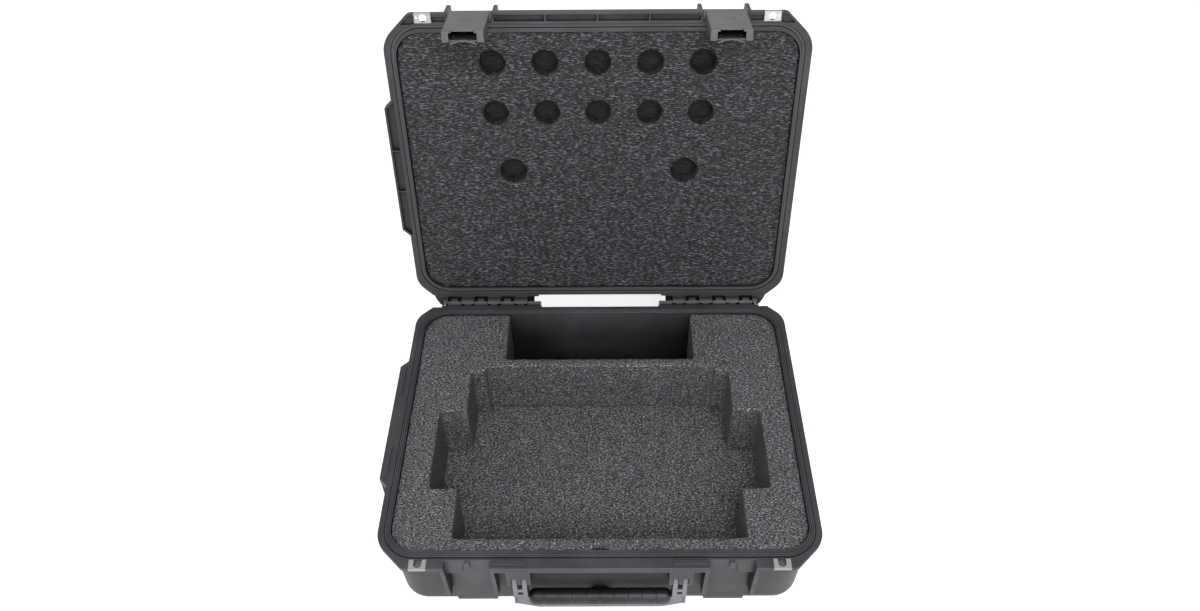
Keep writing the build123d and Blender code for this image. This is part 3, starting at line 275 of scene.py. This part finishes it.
# The handles: moulded nylon bails, a paler grey than the case, with a soft rubber sleeve moulded
# round the bar. They turn on short pins cut from drawn wire, still dark from the drawing.
handle_plastic = moulded_skin("moulded nylon", "#737279", "#807F86", 0.45, 0.8, 0.1)
rubber = moulded_skin("moulded rubber", "#212123", "#3C3C40", 0.42, 0.7, 0.15)
for handle in ("front", "side"):
    paint(handle_plastic, f"{handle}_handle_frame")
    paint(rubber, f"{handle}_handle_grip")
pin_steel = drawn_steel("drawn steel", "#4A4A4A", 0.5)
paint(pin_steel, "front_handle_pin_left", "front_handle_pin_right",
      "side_handle_pin_front", "side_handle_pin_rear")


# The base's foam: a floor pad and a thick cut-out layer, both of closed-cell polyethylene, glued.
# The skin is crinkled from the extruder, with shallow wrinkles that run from side to side.
# The cells are about a millimetre across, and the wrinkles a little over that apart.
VOXEL = 0.0026
PAD_VOXEL = VOXEL * 1.6
SWELLS_PER_M = 60
RIPPLES_ACROSS_PER_M = 90
RIPPLES_ALONG_PER_M = 190
WRINKLES_PER_M = 860.0
CELLS_PER_M = 900.0
CELL_SHARE = 0.16  # of the cells' height against the wrinkles'
WRINKLE_DEPTH = 0.0016


def soft_copy(node, name, body, voxel, swell_mm):
    """The foam that a CAD node stands for, with softened cuts and an uneven face."""
    mesh = nodes[node].data.copy()
    mesh.name = name
    piece = bpy.data.objects.new(name, mesh)
    bpy.context.collection.objects.link(piece)
    remesh = piece.modifiers.new("cells", "REMESH")
    remesh.mode = "VOXEL"
    remesh.voxel_size = voxel
    smooth = piece.modifiers.new("soft cuts", "SMOOTH")
    smooth.factor = 0.5
    smooth.iterations = 1
    bpy.context.view_layer.update()
    depsgraph = bpy.context.evaluated_depsgraph_get()
    made = bpy.data.meshes.new_from_object(piece.evaluated_get(depsgraph))
    piece.modifiers.clear()
    piece.data = made
    normals = [vertex.normal.copy() for vertex in made.vertices]
    for vertex, normal in zip(made.vertices, normals):
        at = vertex.co
        swell = noise.noise(at * SWELLS_PER_M)
        ripple = noise.noise(Vector((
            at.x * RIPPLES_ACROSS_PER_M, at.y * RIPPLES_ALONG_PER_M, at.z * RIPPLES_ALONG_PER_M)))
        wave = swell * 0.6 + ripple * 0.4
        vertex.co = at + normal * (wave - 0.4) * swell_mm / 1000
    for face in made.polygons:
        face.use_smooth = True
    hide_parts(node)
    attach(piece, body)
    return piece


def crinkled_foam(name, valley, colour, crest_with_painted_glint, lengthwise):
    """Extruded polyethylene foam: long wrinkles over fine cells, with a painted glint as a pale
    colour on their crests.
    """
    material, tree = new_material(name)
    place = add(tree, "ShaderNodeTexCoord")
    stretch = add(tree, "ShaderNodeMapping", {
        "Vector": place.outputs["Object"], "Scale": (lengthwise, 1.0, 1.0)})
    wrinkle = add(tree, "ShaderNodeTexNoise", {
        "Vector": stretch.outputs[0], "Scale": WRINKLES_PER_M, "Detail": 3.0,
        "Roughness": 0.55, "Distortion": 0.15})
    cells = add(tree, "ShaderNodeTexNoise", {
        "Vector": place.outputs["Object"], "Scale": CELLS_PER_M, "Detail": 1.0})
    height = add(tree, "ShaderNodeMath", {
        0: cells.outputs["Fac"], 1: CELL_SHARE, 2: wrinkle.outputs["Fac"]},
        operation="MULTIPLY_ADD")
    # The ramp's pale crest colour is a painted glint along the wrinkles' crests, over the skin's
    # own mottled tone.
    ramp = add(tree, "ShaderNodeValToRGB", {"Fac": height.outputs[0]})
    stops = ramp.color_ramp.elements
    stops[0].position = 0.45
    stops[0].color = linear(valley)
    stops[1].position = 0.78
    stops[1].color = linear(crest_with_painted_glint)
    stops.new(0.6).color = linear(colour)
    bump = add(tree, "ShaderNodeBump", {
        "Height": height.outputs[0], "Strength": 1.0, "Distance": WRINKLE_DEPTH})
    shader = add(tree, "ShaderNodeBsdfPrincipled", {
        "Base Color": ramp.outputs[0], "Roughness": 0.42, "IOR": 1.5, "Specular IOR Level": 0.25,
        "Normal": bump.outputs[0]})
    finish_material(tree, shader)
    return material


base_foam = crinkled_foam("polyethylene foam, base", "#18181A", "#3D3D3F", "#B0B0B4", 0.36)
soft_copy("base_foam_floor", "foam_floor_pad", "base", PAD_VOXEL, 0.3)
soft_copy("base_foam_top", "foam_cut_layer", "base", VOXEL, 0.6)
paint(base_foam, "foam_floor_pad", "foam_cut_layer")


# The lid's shell: the same plastic from the same kind of mould, shallower than the base. It turns
# on two long pins of drawn wire that are pushed through its knuckles and the base's.
paint(case_plastic, "lid_shell")
paint(pin_steel, "hinge_pin_left", "hinge_pin_right")


# The seal: extruded sponge rubber, joined in a ring and pressed into the lid's groove. Its open
# skin is dull. The pores are drawn 1 mm across, about twice their real size, to show.
PORES_PER_M = 900.0
seal, tree = new_material("sponge rubber")
place = add(tree, "ShaderNodeTexCoord")
pores = add(tree, "ShaderNodeTexVoronoi", {
    "Vector": place.outputs["Object"], "Scale": PORES_PER_M})
bump = add(tree, "ShaderNodeBump", {
    "Height": pores.outputs["Distance"], "Strength": 0.4, "Distance": 0.0003})
shader = add(tree, "ShaderNodeBsdfPrincipled", {
    "Base Color": linear("#3C3D3C"), "Roughness": 0.7, "IOR": 1.5, "Normal": bump.outputs[0]})
finish_material(tree, shader)
paint(seal, "lid_gasket")


# The lid's foam: a thick sheet pierced by a punch, glued to a backing sheet that fills the lid.
# It is the base's foam with longer wrinkles, its colours darkened as painted shade on the upright
# sheet. Hardly any light reaches the backing through the holes.
# The lid sheet's darker valley, body and crest colours are painted shade.
lid_foam = crinkled_foam("polyethylene foam, lid", "#060607", "#131315", "#74747A", 0.2)
# The backing's near-black colours are painted shade inside the holes.
backing_foam = crinkled_foam(
    "polyethylene foam, lid backing", "#050505", "#0B0B0C", "#2A2A2C", 0.22)
soft_copy("lid_foam_backing", "foam_lid_backing", "lid", PAD_VOXEL, 0.3)
soft_copy("lid_foam_face", "foam_lid_sheet", "lid", VOXEL, 0.5)
paint(backing_foam, "foam_lid_backing")
paint(lid_foam, "foam_lid_sheet")


# The latches: covers and triggers moulded in glass-filled nylon, a shade paler than the case.
# Each cover turns on a steel pin in the lid, and each trigger on a pin and a coil spring of
# drawn wire inside its cover.
latch_plastic = moulded_skin("glass-filled nylon", "#58595B", "#636466", 0.42, 0.7, 0.08)
for side in ("left", "right"):
    paint(latch_plastic, f"latch_body_{side}", f"latch_trigger_{side}")
    paint(pin_steel, f"latch_pin_{side}", f"trigger_pin_{side}", f"trigger_spring_{side}")
